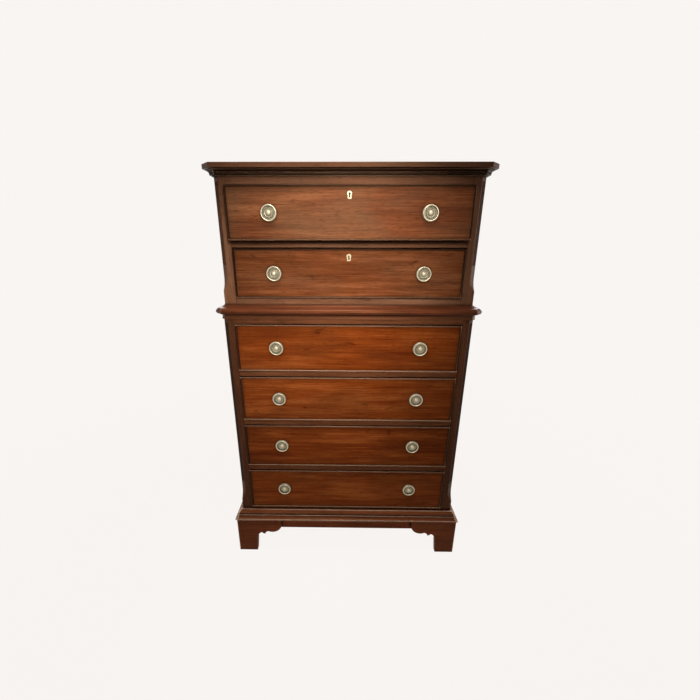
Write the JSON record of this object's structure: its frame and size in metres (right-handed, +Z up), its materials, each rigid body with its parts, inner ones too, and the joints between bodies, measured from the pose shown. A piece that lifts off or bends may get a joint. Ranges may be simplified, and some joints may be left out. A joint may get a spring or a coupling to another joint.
{
  "type": "chest on chest",
  "caption": "Tall mahogany chest in two stacked cases with sliding drawers, ring pulls, canted fluted corners, moulded cornice and bracket feet.",
  "frame": {"origin": "on the floor under the middle of the chest", "axes": "+Z up, the drawers face -Y, +X to the viewer's right"},
  "size_m": [0.998, 0.53, 1.613],
  "materials": {
    "mahogany": "dark red polished",
    "secondary_wood": "plain unpolished",
    "brass": "pale aged",
    "steel": "plain"
  },
  "bodies": {
    "case": {"cornice_moulding": "mahogany", "waist_moulding": "mahogany", "base_moulding": "mahogany", "cap_board": "mahogany", "upper_corner_posts": "mahogany", "upper_sides": "mahogany", "upper_rails": "mahogany", "lower_corner_posts": "mahogany", "lower_sides": "mahogany", "lower_rails": "mahogany", "case_tops_and_bottoms": "secondary_wood", "case_backs": "secondary_wood", "drawer_runners": "secondary_wood", "bracket_feet": "mahogany"},
    "drawer_1": {"drawer_1_front": "mahogany", "drawer_1_cock_bead": "mahogany", "drawer_1_sides_and_back": "secondary_wood", "drawer_1_bottom": "secondary_wood", "drawer_1_pull_plates": "brass", "drawer_1_lock": "brass"},
    "drawer_1_ring_left": {"drawer_1_ring_left": "brass"},
    "drawer_1_ring_right": {"drawer_1_ring_right": "brass"},
    "drawer_1_lock_bolt": {"drawer_1_lock_bolt": "steel"},
    "drawer_2": {"drawer_2_front": "mahogany", "drawer_2_cock_bead": "mahogany", "drawer_2_sides_and_back": "secondary_wood", "drawer_2_bottom": "secondary_wood", "drawer_2_pull_plates": "brass", "drawer_2_lock": "brass"},
    "drawer_2_ring_left": {"drawer_2_ring_left": "brass"},
    "drawer_2_ring_right": {"drawer_2_ring_right": "brass"},
    "drawer_2_lock_bolt": {"drawer_2_lock_bolt": "steel"},
    "drawer_3": {"drawer_3_front": "mahogany", "drawer_3_cock_bead": "mahogany", "drawer_3_sides_and_back": "secondary_wood", "drawer_3_bottom": "secondary_wood", "drawer_3_pull_plates": "brass"},
    "drawer_3_ring_left": {"drawer_3_ring_left": "brass"},
    "drawer_3_ring_right": {"drawer_3_ring_right": "brass"},
    "drawer_4": {"drawer_4_front": "mahogany", "drawer_4_cock_bead": "mahogany", "drawer_4_sides_and_back": "secondary_wood", "drawer_4_bottom": "secondary_wood", "drawer_4_pull_plates": "brass"},
    "drawer_4_ring_left": {"drawer_4_ring_left": "brass"},
    "drawer_4_ring_right": {"drawer_4_ring_right": "brass"},
    "drawer_5": {"drawer_5_front": "mahogany", "drawer_5_cock_bead": "mahogany", "drawer_5_sides_and_back": "secondary_wood", "drawer_5_bottom": "secondary_wood", "drawer_5_pull_plates": "brass"},
    "drawer_5_ring_left": {"drawer_5_ring_left": "brass"},
    "drawer_5_ring_right": {"drawer_5_ring_right": "brass"},
    "drawer_6": {"drawer_6_front": "mahogany", "drawer_6_cock_bead": "mahogany", "drawer_6_sides_and_back": "secondary_wood", "drawer_6_bottom": "secondary_wood", "drawer_6_pull_plates": "brass"},
    "drawer_6_ring_left": {"drawer_6_ring_left": "brass"},
    "drawer_6_ring_right": {"drawer_6_ring_right": "brass"}
  },
  "joints": [
    {"name": "drawer_1_slide", "type": "slide", "parent": "case", "child": "drawer_1", "axis": [0, -1, 0], "range_m": [-0.03, 0.31]},
    {"name": "drawer_1_ring_left_swing", "type": "hinge", "parent": "drawer_1", "child": "drawer_1_ring_left", "pos_m": [-0.2685, -0.259, 1.4855], "axis": [-1, 0, 0], "range_deg": [0, 95]},
    {"name": "drawer_1_ring_right_swing", "type": "hinge", "parent": "drawer_1", "child": "drawer_1_ring_right", "pos_m": [0.2685, -0.259, 1.4855], "axis": [-1, 0, 0], "range_deg": [0, 95]},
    {"name": "drawer_1_lock_bolt_rise", "type": "slide", "parent": "drawer_1", "child": "drawer_1_lock_bolt", "axis": [0, 0, 1], "range_m": [0, 0.009]},
    {"name": "drawer_2_slide", "type": "slide", "parent": "case", "child": "drawer_2", "axis": [0, -1, 0], "range_m": [0, 0.34]},
    {"name": "drawer_2_ring_left_swing", "type": "hinge", "parent": "drawer_2", "child": "drawer_2_ring_left", "pos_m": [-0.2685, -0.229, 1.2855], "axis": [-1, 0, 0], "range_deg": [0, 95]},
    {"name": "drawer_2_ring_right_swing", "type": "hinge", "parent": "drawer_2", "child": "drawer_2_ring_right", "pos_m": [0.2685, -0.229, 1.2855], "axis": [-1, 0, 0], "range_deg": [0, 95]},
    {"name": "drawer_2_lock_bolt_rise", "type": "slide", "parent": "drawer_2", "child": "drawer_2_lock_bolt", "axis": [0, 0, 1], "range_m": [0, 0.009]},
    {"name": "drawer_3_slide", "type": "slide", "parent": "case", "child": "drawer_3", "axis": [0, -1, 0], "range_m": [0, 0.35]},
    {"name": "drawer_3_ring_left_swing", "type": "hinge", "parent": "drawer_3", "child": "drawer_3_ring_left", "pos_m": [-0.274, -0.241, 1.0075], "axis": [-1, 0, 0], "range_deg": [0, 95]},
    {"name": "drawer_3_ring_right_swing", "type": "hinge", "parent": "drawer_3", "child": "drawer_3_ring_right", "pos_m": [0.274, -0.241, 1.0075], "axis": [-1, 0, 0], "range_deg": [0, 95]},
    {"name": "drawer_4_slide", "type": "slide", "parent": "case", "child": "drawer_4", "axis": [0, -1, 0], "range_m": [0, 0.35]},
    {"name": "drawer_4_ring_left_swing", "type": "hinge", "parent": "drawer_4", "child": "drawer_4_ring_left", "pos_m": [-0.274, -0.241, 0.7935], "axis": [-1, 0, 0], "range_deg": [0, 95]},
    {"name": "drawer_4_ring_right_swing", "type": "hinge", "parent": "drawer_4", "child": "drawer_4_ring_right", "pos_m": [0.274, -0.241, 0.7935], "axis": [-1, 0, 0], "range_deg": [0, 95]},
    {"name": "drawer_5_slide", "type": "slide", "parent": "case", "child": "drawer_5", "axis": [0, -1, 0], "range_m": [0, 0.35]},
    {"name": "drawer_5_ring_left_swing", "type": "hinge", "parent": "drawer_5", "child": "drawer_5_ring_left", "pos_m": [-0.274, -0.241, 0.575], "axis": [-1, 0, 0], "range_deg": [0, 95]},
    {"name": "drawer_5_ring_right_swing", "type": "hinge", "parent": "drawer_5", "child": "drawer_5_ring_right", "pos_m": [0.274, -0.241, 0.575], "axis": [-1, 0, 0], "range_deg": [0, 95]},
    {"name": "drawer_6_slide", "type": "slide", "parent": "case", "child": "drawer_6", "axis": [0, -1, 0], "range_m": [0, 0.35]},
    {"name": "drawer_6_ring_left_swing", "type": "hinge", "parent": "drawer_6", "child": "drawer_6_ring_left", "pos_m": [-0.274, -0.241, 0.354], "axis": [-1, 0, 0], "range_deg": [0, 95]},
    {"name": "drawer_6_ring_right_swing", "type": "hinge", "parent": "drawer_6", "child": "drawer_6_ring_right", "pos_m": [0.274, -0.241, 0.354], "axis": [-1, 0, 0], "range_deg": [0, 95]}
  ]
}
